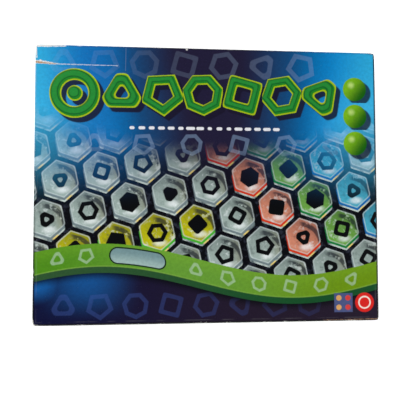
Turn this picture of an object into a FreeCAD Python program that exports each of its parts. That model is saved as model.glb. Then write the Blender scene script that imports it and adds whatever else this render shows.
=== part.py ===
"""A boxed word game with a rotating game board.

A greyboard carton, a base tray and a deep lid that slides over it, holds a thermoformed insert.
The insert carries the game board, the spare puzzle discs, the rule booklet and four piles of tokens.
The game board is a foot, a turntable that spins on it, and a ring with a word window that turns
around the turntable. Clear lenses stand over the letters of the puzzle disc, and tokens lie on them.

Millimetres, +Z up. The origin is the middle of the closed carton's underside, +X runs along its
length and -Y is the player's side.
"""

import FreeCAD, Part
import math
import os

# ---------------------------------------------------------------- carton
greyboard = 1.6             # board of both trays
wrap_paper = 0.2            # printed paper glued round the board
carton_radius = 1.8         # rounded outer edges and corners
lid_gap = 0.8               # lid's inside to base's outside, on each side
base_showing = 6.0          # height of base that a closed lid leaves bare
turn_in = 14.0              # paper turned over an open edge and glued inside
stay_paper = 0.15           # tape in the inner corners
stay_leg = 18.0             # width of that tape on each wall
headroom = 6.6              # board's top to the lid's inside

# ---------------------------------------------------------------- puzzle discs
disc_radius = 112.0
disc_thickness = 1.7
spare_disc_count = 11
spare_disc_turn = 47.0      # degrees from each spare disc to the next
key_count = 3               # ribs on the turntable that stop disc and lens plate turning
key_width = 5.0
key_reach = 2.4             # how far a key reaches over the disc's edge
key_gap = 0.4

# ---------------------------------------------------------------- foot and spindle
foot_radius = 88.0
foot_height = 17.0          # table to the foot's top
foot_wall = 2.2
foot_bevel = 2.0
foot_rib = 1.6
foot_rib_depth = 6.0
foot_cup_depth = 7.0        # hollow in the foot's top for the turntable's hub
post_radius = 6.0
pilot_radius = 1.5
pilot_depth = 12.0
support_count = 6           # rubber feet below, and glide pads above
rubber_radius = 6.0
rubber_thickness = 3.0
rubber_proud = 1.2          # rubber below the foot's skirt
rubber_inset = 12.0         # foot's edge to the middle of a rubber foot
seat_gap = 0.05             # round a plugged-in foot, pad or screw
pad_radius = 4.0
pad_thickness = 2.0
pad_proud = 1.0
pad_inset = 10.0
glide_gap = 0.15            # pads to the turntable's underside

# ---------------------------------------------------------------- turntable
floor_thickness = 2.4
hub_radius = 14.0
hub_cup_gap = 1.2           # hub to the wall of the foot's cup
hub_floor_gap = 0.4
bearing_gap = 0.08          # post to hub
end_play = 0.15             # washer to hub
washer_radius = 10.0
washer_thickness = 1.0
washer_gap = 1.0            # round the washer in its recess
screw_head_radius = 4.0
screw_head_height = 2.0
screw_cross_width = 0.9
screw_cross_depth = 1.0
head_cover = 0.35           # screw head to the puzzle disc above
upstand_gap = 0.8           # disc's edge to the turntable's upright rim
upstand_thickness = 2.0
flange_width = 2.6          # turntable outside its upright rim, held by the ring's lugs

# ---------------------------------------------------------------- lens plate
lens_plate_thickness = 1.4
lens_radius = 8.5
lens_spacing = 2.1          # between the skirts of neighbouring lenses
lens_height = 4.3           # straight side above the plate
lens_crown = 0.9            # domed top
lens_skirt = 0.7            # flange round the lens at the plate
lens_skirt_height = 1.0
lens_grid_turn = 26.0       # degrees between the rows of lenses and +X

# ---------------------------------------------------------------- word ring
ring_gap = 0.6              # turntable's flange to the ring's wall
ring_wall = 2.0
ring_cover = 12.0           # disc's rim hidden under the ring
ring_lip_gap = 0.4          # ring's lower edges to the lens plate
ring_above_lens = 0.95
ring_bevel = 3.5
ring_bevel_drop = 5.0
lug_count = 6
lug_half_angle = 6.0
lug_thickness = 2.0
lug_gap = 0.4               # under the turntable's flange
lug_catch = 1.2             # how far a lug reaches under that flange
window_inset = 3.5          # ring's inner edge to the word window
window_depth = 6.5
window_half_angle = 7.6
window_wall = 1.2
window_direction = -90.0

# ---------------------------------------------------------------- tokens
token_overhang = 0.4        # token's edge beyond the lens it lies on
token_edge = 2.4            # straight side
token_crown = 2.4           # domed top
token_hollow = 1.1          # dished underside that sits on a lens
token_spacing = 0.5
pile_side = 3               # tokens along each side of a full layer
pile_layers = 4             # full and small layers in turn
layer_gap = 0.1
token_colours = ("yellow", "red", "green", "blue")

# ---------------------------------------------------------------- insert
sheet = 0.8                 # thermoformed plastic
insert_gap = 0.5            # to the base's turned-in paper
insert_radius = 5.0
insert_skirt = 9.0          # rim folded down round the deck
draft = math.tan(math.radians(2.0))
web = 7.5                   # deck left between well, pockets and rim, along X
side_web = 6.2              # deck left beside the widest hollow, along Y
disc_well_gap = 2.0
board_well_gap = 1.5
ledge_gap = 2.0             # ring's lower edge to the step in the well
board_proud = 6.5           # ring above the deck
pocket_slack = 1.2
pocket_radius = 9.0
pocket_web = 3.2
pocket_freeboard = 6.0      # top of a pile to the deck
scoop_radius = 16.0
scoop_depth = 18.0
scoop_offset = 4.0          # scoop's middle outside the well's edge
scoop_directions = (135.0, -45.0)

# ---------------------------------------------------------------- rule booklet
booklet_gap = 9.3           # booklet's corners to the well's wall
pages_thickness = 1.0
cover_paper = 0.25
staple_radius = 0.3
staple_length = 12.0
staple_spacing = 70.0

# ---------------------------------------------------------------- worked out: heights
floor_top = wrap_paper + greyboard
insert_floor = floor_top + sheet
booklet_thickness = pages_thickness + 2 * cover_paper
discs_base = insert_floor + booklet_thickness
board_base = discs_base + spare_disc_count * disc_thickness
foot_top = board_base + foot_height
skirt_base = board_base + rubber_proud
cup_floor = foot_top - foot_cup_depth
table_under = foot_top + pad_proud + glide_gap
table_top = table_under + floor_thickness
recess_floor = table_top - head_cover - screw_head_height - washer_thickness - end_play
post_top = recess_floor + end_play
lens_plate_base = table_top + disc_thickness
lens_plate_top = lens_plate_base + lens_plate_thickness
lens_top = lens_plate_top + lens_height + lens_crown
ring_top = lens_top + ring_above_lens
ring_base = table_under - lug_gap - lug_thickness
ring_lip_base = lens_plate_top + ring_lip_gap
rim_height = ring_top + headroom
carton_height = rim_height + greyboard + wrap_paper
deck_height = ring_top - board_proud
ledge_height = ring_base - ledge_gap

# ---------------------------------------------------------------- worked out: radii and plan sizes
lens_foot_radius = lens_radius + lens_skirt
lens_pitch = 2 * lens_foot_radius + lens_spacing
token_radius = lens_radius + token_overhang
upstand_inner = disc_radius + upstand_gap
upstand_outer = upstand_inner + upstand_thickness
flange_radius = upstand_outer + flange_width
ring_inner_wall = flange_radius + ring_gap
board_radius = ring_inner_wall + ring_wall
ring_inner_radius = disc_radius - ring_cover
window_inner = ring_inner_radius + window_inset
window_outer = window_inner + window_depth
cup_radius = hub_radius + hub_cup_gap
disc_well_radius = disc_radius + disc_well_gap
board_well_radius = board_radius + board_well_gap
booklet_side = math.sqrt(2) * (disc_well_radius - booklet_gap)
well_outer = board_well_radius + (deck_height - ledge_height) * draft + sheet
layer_height = token_edge + token_crown + layer_gap
pocket_depth = pile_layers * layer_height + pocket_freeboard
pocket_floor = deck_height - pocket_depth
token_pitch = 2 * token_radius + token_spacing
pocket_bottom_side = pile_side * token_pitch + pocket_slack
pocket_top_side = pocket_bottom_side + 2 * pocket_depth * draft
pocket_pitch = pocket_top_side + 2 * sheet + pocket_web
pocket_row = len(token_colours) * pocket_pitch - pocket_web
insert_size = (
    3 * web + 2 * well_outer + pocket_top_side + 2 * sheet,
    max(2 * well_outer, pocket_row) + 2 * side_web,
)
board_x = -insert_size[0] / 2 + web + well_outer
pocket_x = insert_size[0] / 2 - web - sheet - pocket_top_side / 2


def inset(size, amount):
    """Length and width of a rectangle moved in by amount on every side."""
    return (size[0] - 2 * amount, size[1] - 2 * amount)


base_opening = inset(insert_size, -insert_gap)
base_inside = inset(base_opening, -wrap_paper)
base_board_size = inset(base_inside, -greyboard)
base_size = inset(base_board_size, -wrap_paper)
lid_opening = inset(base_size, -lid_gap)
lid_inside = inset(lid_opening, -wrap_paper)
lid_board_size = inset(lid_inside, -greyboard)
carton_size = inset(lid_board_size, -wrap_paper)


# ---------------------------------------------------------------- shape helpers
def point(x, y, z):
    return FreeCAD.Vector(x, y, z)


def slab(size, low, high, centre=(0.0, 0.0)):
    """A plain block of that length and width between two heights."""
    length, width = size
    corner = point(centre[0] - length / 2, centre[1] - width / 2, low)
    return Part.makeBox(length, width, high - low, corner)


def rounded_slab(size, low, high, radius, round_top=False):
    """A slab with its upright edges rounded, and its top edges too if asked."""
    block = slab(size, low, high)
    reaches_top = [e for e in block.Edges if e.BoundBox.ZMax > high - 1e-3]
    upright = [e for e in reaches_top if e.BoundBox.ZMin < high - 1e-3]
    return block.makeFillet(radius, reaches_top if round_top else upright)


def disc(radius, low, high, x=0.0, y=0.0):
    return Part.makeCylinder(radius, high - low, point(x, y, low))


def drafted_disc(radius, low, high, x=0.0, y=0.0):
    """A round hollow's inside: radius at the bottom, wider by the draft at the top."""
    return Part.makeCone(radius, radius + (high - low) * draft, high - low, point(x, y, low))


def turned(profile):
    """A solid turned about the Z axis from a closed outline of (radius, height) points."""
    corners = [point(r, 0, z) for r, z in profile]
    outline = Part.makePolygon(corners + corners[:1])
    return Part.Face(outline).revolve(point(0, 0, 0), point(0, 0, 1), 360)


def sector(inner, outer, low, high, middle, half_angle):
    """A piece of a flat ring, half_angle degrees to each side of the middle direction."""
    corners = [point(r, 0, z) for r, z in ((inner, low), (outer, low), (outer, high), (inner, high))]
    face = Part.Face(Part.makePolygon(corners + corners[:1]))
    piece = face.revolve(point(0, 0, 0), point(0, 0, 1), 2 * half_angle)
    piece.rotate(point(0, 0, 0), point(0, 0, 1), middle - half_angle)
    return piece


def around(radius, count, start=0.0):
    """Points evenly spaced on a circle, as (x, y, direction in degrees)."""
    places = []
    for number in range(count):
        angle = start + number * 360.0 / count
        x = radius * math.cos(math.radians(angle))
        y = radius * math.sin(math.radians(angle))
        places.append((x, y, angle))
    return places


def rounded_outline(side, radius, centre, height):
    """A square wire with rounded corners."""
    half = side / 2 - radius
    slant = radius * math.sqrt(0.5)
    edges = []
    for quarter in range(4):
        turn = FreeCAD.Rotation(point(0, 0, 1), 90 * quarter)

        def at(x, y):
            return turn.multVec(point(x, y, 0)) + point(centre[0], centre[1], height)

        start, end = at(half + radius, half), at(half, half + radius)
        edges.append(Part.LineSegment(at(half + radius, -half), start).toShape())
        edges.append(Part.Arc(start, at(half + slant, half + slant), end).toShape())
    return Part.Wire(edges)


def pocket(bottom_side, top_side, radius, low, high, centre):
    """A square hollow with rounded corners and sloping sides."""
    bottom = rounded_outline(bottom_side, radius, centre, low)
    top = rounded_outline(top_side, radius, centre, high)
    return Part.makeLoft([bottom, top], True)


def on_board_axis(shape):
    """The same shape moved from the Z axis to the game board's axis."""
    moved = shape.copy()
    moved.translate(point(board_x, 0, 0))
    return moved


# ---------------------------------------------------------------- carton
def paper_cover(outside, board, turned_in, low, high, rim_up):
    """Printed paper on a tray: the outside less the board, open at the tray's mouth, plus its turn-in.

    outside and board are solid blocks, and turned_in is (inside size, opening size)."""
    inside, opening = turned_in
    strip = slab(inside, low, high).cut(slab(opening, low, high))
    mouth = slab(opening, low, high + 1) if rim_up else slab(opening, low - 1, high)
    return outside.cut(board).cut(mouth).fuse(strip).removeSplitter()


def corner_stays(inside, low, high):
    """Four angle-shaped strips of tape in a tray's inner corners."""
    lining = slab(inside, low, high).cut(slab(inset(inside, stay_paper), low, high))
    places = [(x * inside[0] / 2, y * inside[1] / 2) for x in (-1, 1) for y in (-1, 1)]
    reach = (2 * stay_leg, 2 * stay_leg)
    return [lining.common(slab(reach, low, high, place)) for place in places]


def lid_board():
    board = rounded_slab(
        lid_board_size,
        base_showing + wrap_paper,
        carton_height - wrap_paper,
        carton_radius - wrap_paper,
        round_top=True,
    )
    return [board.cut(slab(lid_inside, base_showing, rim_height))]


def lid_wrap():
    outside = rounded_slab(carton_size, base_showing, carton_height, carton_radius, round_top=True)
    board = rounded_slab(
        lid_board_size,
        base_showing + wrap_paper,
        carton_height - wrap_paper,
        carton_radius - wrap_paper,
        round_top=True,
    )
    edges = (lid_inside, lid_opening)
    return [paper_cover(outside, board, edges, base_showing, base_showing + turn_in, rim_up=False)]


def lid_corner_stays():
    return corner_stays(lid_inside, base_showing + turn_in, rim_height)


def base_board():
    board = rounded_slab(base_board_size, wrap_paper, rim_height - wrap_paper, carton_radius - wrap_paper)
    return [board.cut(slab(base_inside, floor_top, rim_height))]


def base_wrap():
    outside = rounded_slab(base_size, wrap_paper, rim_height, carton_radius)
    board = rounded_slab(base_board_size, wrap_paper, rim_height - wrap_paper, carton_radius - wrap_paper)
    edges = (base_inside, base_opening)
    return [paper_cover(outside, board, edges, rim_height - turn_in, rim_height, rim_up=True)]


def base_underside():
    return [rounded_slab(base_size, 0.0, wrap_paper, carton_radius)]


def base_corner_stays():
    return corner_stays(base_inside, floor_top, rim_height - turn_in)


# ---------------------------------------------------------------- insert
def pocket_centres():
    middle = (len(token_colours) - 1) / 2
    return [(pocket_x, (middle - number) * pocket_pitch) for number in range(len(token_colours))]


def insert_tray():
    """One thermoformed sheet: a deck with a folded rim, a stepped round well, finger scoops and pockets."""
    above = deck_height + 1.0
    rim_base = deck_height - insert_skirt
    shell = rounded_slab(insert_size, rim_base, deck_height, insert_radius)
    under = rounded_slab(inset(insert_size, sheet), rim_base, deck_height - sheet, insert_radius - sheet)
    shell = shell.cut(under)

    outsides = [
        drafted_disc(disc_well_radius + sheet, floor_top, ledge_height, board_x),
        drafted_disc(board_well_radius + sheet, ledge_height - sheet, deck_height, board_x),
    ]
    hollows = [
        drafted_disc(disc_well_radius, insert_floor, ledge_height, board_x),
        drafted_disc(board_well_radius, ledge_height, above, board_x),
    ]
    scoop_floor = deck_height - scoop_depth
    for direction in scoop_directions:
        x, y, _ = around(board_well_radius + scoop_offset, 1, direction)[0]
        outsides.append(
            drafted_disc(scoop_radius + sheet, scoop_floor - sheet, deck_height, board_x + x, y)
        )
        hollows.append(drafted_disc(scoop_radius, scoop_floor, above, board_x + x, y))
    overrun = 2 * (above - deck_height) * draft
    for centre in pocket_centres():
        outsides.append(
            pocket(
                pocket_bottom_side + 2 * sheet,
                pocket_top_side + 2 * sheet,
                pocket_radius + sheet,
                pocket_floor - sheet,
                deck_height,
                centre,
            )
        )
        hollows.append(
            pocket(
                pocket_bottom_side,
                pocket_top_side + overrun,
                pocket_radius,
                pocket_floor,
                above,
                centre,
            )
        )
    return [shell.multiFuse(outsides).cut(Part.makeCompound(hollows)).removeSplitter()]


# ---------------------------------------------------------------- rule booklet
def rulebook_pages():
    low = insert_floor + cover_paper
    size = (booklet_side, booklet_side)
    return [slab(size, low, low + pages_thickness, (board_x, 0))]


def rulebook_cover():
    """A folded sheet over, under and round the pages' left edge."""
    size = (booklet_side + cover_paper, booklet_side)
    sheet_block = slab(size, insert_floor, discs_base, (board_x - cover_paper / 2, 0))
    return [sheet_block.cut(rulebook_pages()[0])]


def rulebook_staples():
    x = board_x - booklet_side / 2 - cover_paper - staple_radius
    z = insert_floor + booklet_thickness / 2
    staples = []
    for side in (-1, 1):
        start = point(x, side * staple_spacing / 2 - staple_length / 2, z)
        staples.append(Part.makeCylinder(staple_radius, staple_length, start, point(0, 1, 0)))
    return staples


# ---------------------------------------------------------------- puzzle discs
def key_block(low, high, gap, direction):
    """The space of one key, grown by gap: a bar that reaches in over the disc's edge."""
    start = disc_radius - key_reach - gap
    length = upstand_inner + upstand_thickness / 2 - start
    bar = slab((length, key_width + 2 * gap), low, high, (start + length / 2, 0))
    bar.rotate(point(0, 0, 0), point(0, 0, 1), direction)
    return bar


def key_directions():
    return [direction for _, _, direction in around(1.0, key_count, 90.0)]


def keyed_disc(low, high):
    """A round plate with notches in its edge for the turntable's keys."""
    plate = disc(disc_radius, low, high)
    for direction in key_directions():
        plate = plate.cut(key_block(low, high, key_gap, direction))
    return plate


def puzzle_disc():
    return [on_board_axis(keyed_disc(table_top, lens_plate_base))]


def spare_puzzle_discs():
    pile = []
    for number in range(spare_disc_count):
        low = discs_base + number * disc_thickness
        one = keyed_disc(low, low + disc_thickness)
        one.rotate(point(0, 0, 0), point(0, 0, 1), number * spare_disc_turn)
        pile.append(on_board_axis(one))
    return pile


# ---------------------------------------------------------------- foot
def board_foot():
    """A hollow round foot with a cup and a post in the middle, ribs, and seats for feet and pads."""
    plate_under = foot_top - foot_wall
    body = turned(
        [
            (0, cup_floor - foot_wall),
            (cup_radius + foot_wall, cup_floor - foot_wall),
            (cup_radius + foot_wall, plate_under),
            (foot_radius - foot_wall, plate_under),
            (foot_radius - foot_wall, skirt_base),
            (foot_radius, skirt_base),
            (foot_radius, foot_top - foot_bevel),
            (foot_radius - foot_bevel, foot_top),
            (cup_radius, foot_top),
            (cup_radius, cup_floor),
            (post_radius, cup_floor),
            (post_radius, post_top),
            (pilot_radius, post_top),
            (pilot_radius, post_top - pilot_depth),
            (0, post_top - pilot_depth),
        ]
    )
    additions = []
    rib_start = cup_radius + foot_wall / 2
    rib_end = foot_radius - foot_wall / 2
    for _, _, direction in around(1.0, support_count, 180.0 / support_count):
        middle = (rib_start + rib_end) / 2
        rib = slab((rib_end - rib_start, foot_rib), plate_under - foot_rib_depth, plate_under, (middle, 0))
        rib.rotate(point(0, 0, 0), point(0, 0, 1), direction)
        additions.append(rib)
    for x, y, _ in around(foot_radius - rubber_inset, support_count):
        additions.append(disc(rubber_radius + foot_rib, skirt_base, plate_under, x, y))
    body = body.multiFuse(additions)

    seats = []
    for x, y, _ in around(foot_radius - rubber_inset, support_count):
        seat_top = board_base + rubber_thickness
        seats.append(disc(rubber_radius + seat_gap, skirt_base, seat_top, x, y))
    for x, y, _ in around(foot_radius - pad_inset, support_count, 180.0 / support_count):
        seat_floor = foot_top + pad_proud - pad_thickness
        seats.append(disc(pad_radius + seat_gap, seat_floor, foot_top, x, y))
    return [on_board_axis(body.cut(Part.makeCompound(seats)).removeSplitter())]


def rubber_feet():
    places = around(foot_radius - rubber_inset, support_count)
    top = board_base + rubber_thickness
    return [on_board_axis(disc(rubber_radius, board_base, top, x, y)) for x, y, _ in places]


def glide_pads():
    places = around(foot_radius - pad_inset, support_count, 180.0 / support_count)
    top = foot_top + pad_proud
    return [on_board_axis(disc(pad_radius, top - pad_thickness, top, x, y)) for x, y, _ in places]


def spindle_washer():
    ring = disc(washer_radius, post_top, post_top + washer_thickness)
    hole = disc(pilot_radius + seat_gap, post_top, post_top + washer_thickness)
    return [on_board_axis(ring.cut(hole))]


def spindle_screw():
    """A pan-head screw with a cross recess, down through the washer into the post."""
    head_base = post_top + washer_thickness
    head_top = head_base + screw_head_height
    screw = disc(screw_head_radius, head_base, head_top)
    screw = screw.fuse(disc(pilot_radius - seat_gap, post_top - pilot_depth + 1.0, head_base))
    arm = (1.2 * screw_head_radius, screw_cross_width)
    for size in (arm, arm[::-1]):
        screw = screw.cut(slab(size, head_top - screw_cross_depth, head_top))
    return [on_board_axis(screw.removeSplitter())]


# ---------------------------------------------------------------- turntable
def turntable_tray():
    """A round tray with a hub for the post, a recess for the washer, an upright rim and disc keys."""
    bore = post_radius + bearing_gap
    recess_radius = washer_radius + washer_gap
    hub_base = cup_floor + hub_floor_gap
    body = turned(
        [
            (bore, hub_base),
            (hub_radius, hub_base),
            (hub_radius, table_under),
            (flange_radius, table_under),
            (flange_radius, table_top),
            (upstand_outer, table_top),
            (upstand_outer, lens_plate_top),
            (upstand_inner, lens_plate_top),
            (upstand_inner, table_top),
            (recess_radius, table_top),
            (recess_radius, recess_floor),
            (bore, recess_floor),
        ]
    )
    keys = [key_block(table_top, lens_plate_top, 0.0, direction) for direction in key_directions()]
    return [on_board_axis(body.multiFuse(keys).removeSplitter())]


# ---------------------------------------------------------------- lens plate
def crown_arc(radius, low, crown):
    """The arc of a shallow dome from its edge at height low to its top on the axis."""
    sphere = (radius**2 + crown**2) / (2 * crown)
    middle = low + crown - sphere + math.sqrt(sphere**2 - (radius / 2) ** 2)
    return Part.Arc(point(radius, 0, low), point(radius / 2, 0, middle), point(0, 0, low + crown))


def lens():
    """One clear lens with a small skirt, standing on the plate."""
    side_top = lens_plate_top + lens_height
    skirt_top = lens_plate_top + lens_skirt_height
    sunk = lens_plate_top - lens_plate_thickness / 2
    path = [
        point(0, 0, sunk),
        point(lens_foot_radius, 0, sunk),
        point(lens_foot_radius, 0, skirt_top),
        point(lens_radius, 0, skirt_top),
        point(lens_radius, 0, side_top),
    ]
    edges = [Part.LineSegment(a, b).toShape() for a, b in zip(path, path[1:])]
    edges.append(crown_arc(lens_radius, side_top, lens_crown).toShape())
    edges.append(Part.LineSegment(point(0, 0, side_top + lens_crown), path[0]).toShape())
    return Part.Face(Part.Wire(edges)).revolve(point(0, 0, 0), point(0, 0, 1), 360)


def lens_places():
    """Centres of the lenses: a turned square grid inside the ring."""
    reach = ring_inner_radius - lens_foot_radius - ring_lip_gap
    count = int(reach / lens_pitch) + 1
    turn = math.radians(lens_grid_turn)
    places = []
    for column in range(-count, count + 1):
        for row in range(-count, count + 1):
            across, along = column * lens_pitch, row * lens_pitch
            if math.hypot(across, along) <= reach:
                x = across * math.cos(turn) - along * math.sin(turn)
                y = across * math.sin(turn) + along * math.cos(turn)
                places.append((x, y))
    return places


def lens_plate():
    one = lens()
    lenses = []
    for x, y in lens_places():
        copy = one.copy()
        copy.translate(point(x, y, 0))
        lenses.append(copy)
    return [on_board_axis(keyed_disc(lens_plate_base, lens_plate_top).multiFuse(lenses))]


# ---------------------------------------------------------------- word ring
def word_ring():
    """A hollow ring over the disc's rim, with snap lugs below and a walled window for one word."""
    bevel_foot = ring_top - ring_bevel_drop
    body = turned(
        [
            (board_radius, ring_base),
            (board_radius, bevel_foot),
            (board_radius - ring_bevel, ring_top),
            (ring_inner_radius, ring_top),
            (ring_inner_radius, ring_lip_base),
            (ring_inner_radius + ring_wall, ring_lip_base),
            (ring_inner_radius + ring_wall, ring_top - ring_wall),
            (board_radius - ring_wall - ring_bevel, ring_top - ring_wall),
            (ring_inner_wall, bevel_foot),
            (ring_inner_wall, ring_base),
        ]
    )
    chute = sector(
        window_inner - window_wall,
        window_outer + window_wall,
        ring_lip_base,
        ring_top - ring_wall / 2,
        window_direction,
        window_half_angle + math.degrees(window_wall / window_inner),
    )
    lugs = [
        sector(
            flange_radius - lug_catch,
            ring_inner_wall + ring_wall / 2,
            ring_base,
            ring_base + lug_thickness,
            direction,
            lug_half_angle,
        )
        for _, _, direction in around(1.0, lug_count)
    ]
    window = sector(
        window_inner, window_outer, ring_lip_base - 1, ring_top + 1, window_direction, window_half_angle
    )
    return [on_board_axis(body.multiFuse([chute] + lugs).cut(window).removeSplitter())]


# ---------------------------------------------------------------- tokens
def token():
    """A clear domed token with a dished underside, standing on z = 0."""
    top = token_edge + token_crown
    underside = crown_arc(token_radius, 0.0, token_hollow).toShape()
    dome = crown_arc(token_radius, token_edge, token_crown).toShape()
    side = Part.LineSegment(point(token_radius, 0, 0), point(token_radius, 0, token_edge)).toShape()
    axis = Part.LineSegment(point(0, 0, top), point(0, 0, token_hollow)).toShape()
    outline = Part.Wire(Part.__sortEdges__([underside, side, dome, axis]))
    return Part.Face(outline).revolve(point(0, 0, 0), point(0, 0, 1), 360)


def token_pile(centre):
    """Layers in turn of a full square and, lying in its gaps, a square one token smaller."""
    one = token()
    pile = []
    for layer in range(pile_layers):
        side = pile_side - layer % 2
        start = -(side - 1) / 2 * token_pitch
        for column in range(side):
            for row in range(side):
                copy = one.copy()
                x = centre[0] + start + column * token_pitch
                y = centre[1] + start + row * token_pitch
                copy.translate(point(x, y, pocket_floor + layer * layer_height))
                pile.append(copy)
    return pile


# ---------------------------------------------------------------- writing the parts
def save(name, solids):
    shape = solids[0] if len(solids) == 1 else Part.makeCompound(solids)
    if not shape.isValid():
        raise ValueError(name + " is not a valid shape")
    shape.exportStep(os.path.join("parts", name + ".step"))


def main():
    os.makedirs("parts", exist_ok=True)
    pieces = (
        lid_board,
        lid_wrap,
        lid_corner_stays,
        base_board,
        base_wrap,
        base_underside,
        base_corner_stays,
        insert_tray,
        rulebook_pages,
        rulebook_cover,
        rulebook_staples,
        spare_puzzle_discs,
        board_foot,
        rubber_feet,
        glide_pads,
        spindle_washer,
        spindle_screw,
        turntable_tray,
        puzzle_disc,
        lens_plate,
        word_ring,
    )
    for piece in pieces:
        save(piece.__name__, piece())
    for colour, centre in zip(token_colours, pocket_centres()):
        save("tokens_" + colour, token_pile(centre))
    print("carton %.2f x %.2f x %.2f mm" % (carton_size + (carton_height,)))


main()
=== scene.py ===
"""Looks of a boxed rotating word game board: a worn, printed carton and the game inside it.

Sizes are written in millimetres. Meshes are in metres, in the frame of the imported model.
"""

import math
import random
from functools import partial, reduce

import bmesh
import bpy
import numpy as np
from mathutils import Matrix, Vector


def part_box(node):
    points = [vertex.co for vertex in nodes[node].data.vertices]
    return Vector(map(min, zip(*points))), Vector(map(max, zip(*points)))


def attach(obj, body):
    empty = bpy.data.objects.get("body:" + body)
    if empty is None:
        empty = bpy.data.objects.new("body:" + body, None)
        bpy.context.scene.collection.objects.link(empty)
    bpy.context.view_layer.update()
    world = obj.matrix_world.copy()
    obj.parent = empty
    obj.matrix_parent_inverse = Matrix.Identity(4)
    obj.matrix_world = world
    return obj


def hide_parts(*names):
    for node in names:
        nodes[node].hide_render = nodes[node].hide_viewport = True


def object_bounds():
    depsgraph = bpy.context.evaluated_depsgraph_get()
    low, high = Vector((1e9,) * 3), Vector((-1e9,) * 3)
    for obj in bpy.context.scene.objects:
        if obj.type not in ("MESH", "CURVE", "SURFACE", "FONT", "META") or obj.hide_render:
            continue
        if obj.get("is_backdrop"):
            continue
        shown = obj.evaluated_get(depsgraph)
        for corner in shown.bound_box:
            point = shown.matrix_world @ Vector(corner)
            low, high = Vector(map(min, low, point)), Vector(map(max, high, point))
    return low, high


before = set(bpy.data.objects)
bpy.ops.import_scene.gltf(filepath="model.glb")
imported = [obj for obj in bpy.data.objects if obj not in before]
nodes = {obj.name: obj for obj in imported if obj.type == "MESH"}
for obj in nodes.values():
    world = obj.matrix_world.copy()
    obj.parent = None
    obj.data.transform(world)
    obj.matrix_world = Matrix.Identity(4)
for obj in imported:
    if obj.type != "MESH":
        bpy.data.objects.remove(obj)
cad_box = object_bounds()
MM = 0.001


# -------- sizes taken from the frame
def node_box(name):
    """Lowest and highest corner of a node of the frame, in millimetres."""
    low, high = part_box(name)
    return low / MM, high / MM


carton_low, carton_high = node_box("lid_wrap")
half_length, half_width, lid_top = carton_high
lid_rim = carton_low.z
edge_radius = 1.8  # rounded edges and corners of both trays
paper = 0.2
board_thickness = 1.6
flat_x = half_length - edge_radius  # where the lid's flat face ends
flat_y = half_width - edge_radius
wall_height = lid_top - edge_radius - lid_rim
fold = edge_radius * math.pi / 2  # paper that goes round an edge

# -------- camera of the photograph
image_side = 416  # pixels
focal_pixels = 500
sensor = 36
camera_place = (-41.65, -44.53, 547.94)
camera_turn = (2.501, -4.646, 0.051)  # degrees about X, Y and Z, in the order ZYX


# -------- colours
def ink(red, green, blue):
    """A colour written as it looks on a screen, 0 to 255, as linear light for a shader."""
    levels = [level / 255 for level in (red, green, blue)]
    linear = [v / 12.92 if v <= 0.04045 else ((v + 0.055) / 1.055) ** 2.4 for v in levels]
    return (*linear, 1)


near_black = ink(20, 20, 33)
navy = ink(31, 27, 54)
lime = ink(166, 188, 12)
glyph_green = ink(30, 128, 34)
glyph_line = ink(12, 84, 44)
shadow_ink = ink(24, 20, 42)
pale_ink = ink(226, 226, 232)
plain_white = ink(255, 255, 255)


# -------- arithmetic in a material
class Num:
    """A number that varies over a surface: an output of the node tree being written."""

    tree = None

    def __init__(self, socket):
        self.socket = socket

    def __neg__(self):
        return self * -1

    def __abs__(self):
        return calculate("ABSOLUTE", self)

    def __round__(self):
        return calculate("ROUND", self)

    def __gt__(self, other):
        """1 where this is the greater of the two, 0 elsewhere."""
        return calculate("GREATER_THAN", self, other)


def join(value, socket):
    """Sets an input to a plain value, or links a Num or an output to it."""
    if isinstance(value, Num):
        value = value.socket
    if isinstance(value, bpy.types.NodeSocket):
        Num.tree.links.new(value, socket)
    else:
        socket.default_value = value


def add_node(kind, inputs=(), **settings):
    """A new shader node in the tree being written. Its inputs are joined by number or name."""
    node = Num.tree.nodes.new(f"ShaderNode{kind}")
    for name, value in settings.items():
        setattr(node, name, value)
    for socket, value in dict(inputs).items():
        join(value, node.inputs[socket])
    return node


def calculate(operation, *values):
    """A Math node on Nums and plain numbers."""
    return Num(add_node("Math", enumerate(values), operation=operation).outputs[0])


# the operators of Num, each a Math node
for word, operation in zip(
    ("add", "sub", "mul", "truediv", "mod", "pow"),
    ("ADD", "SUBTRACT", "MULTIPLY", "DIVIDE", "FLOORED_MODULO", "POWER"),
):
    setattr(Num, f"__{word}__", lambda a, b, kind=operation: calculate(kind, a, b))
    setattr(Num, f"__r{word}__", lambda a, b, kind=operation: calculate(kind, b, a))


def lowest(*values):
    return reduce(partial(calculate, "MINIMUM"), values)


def highest(*values):
    return reduce(partial(calculate, "MAXIMUM"), values)


def length(x, y):
    return calculate("SQRT", x * x + y * y)


def turned(x, y, angle):
    """A place as seen from axes that are turned by that angle."""
    cos, sin = math.cos(angle), math.sin(angle)
    return x * cos + y * sin, y * cos - x * sin


def ramp(value, start, end):
    """0 where value is at start, 1 where it is at end, smooth between, whichever is greater."""
    inputs = {"Value": value, "From Min": start, "From Max": end}
    return Num(add_node("MapRange", inputs, interpolation_type="SMOOTHSTEP").outputs["Result"])


def within(distance, edge, soft=0.4):
    """1 where a distance is under edge, 0 where it is over."""
    return ramp(distance, edge + soft, edge - soft)


def between(value, low, high, soft=0.4):
    """1 where value lies between two numbers."""
    return within(abs(value - (low + high) / 2), (high - low) / 2, soft)


def hump(value, middle, reach, flat=0):
    """1 up to flat from the middle, falling smoothly to 0 at that reach on both sides."""
    return ramp(abs(value - middle), reach, flat)


def mix(share, first, second):
    """First where share is 0 and second where it is 1."""
    return add_node("Mix", {0: share, 6: first, 7: second}, data_type="RGBA").outputs[2]


def layered(colour, *coats):
    """A colour under coats of (share, colour), the lowest coat first."""
    for share, over in coats:
        colour = mix(share, colour, over)
    return colour


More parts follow.
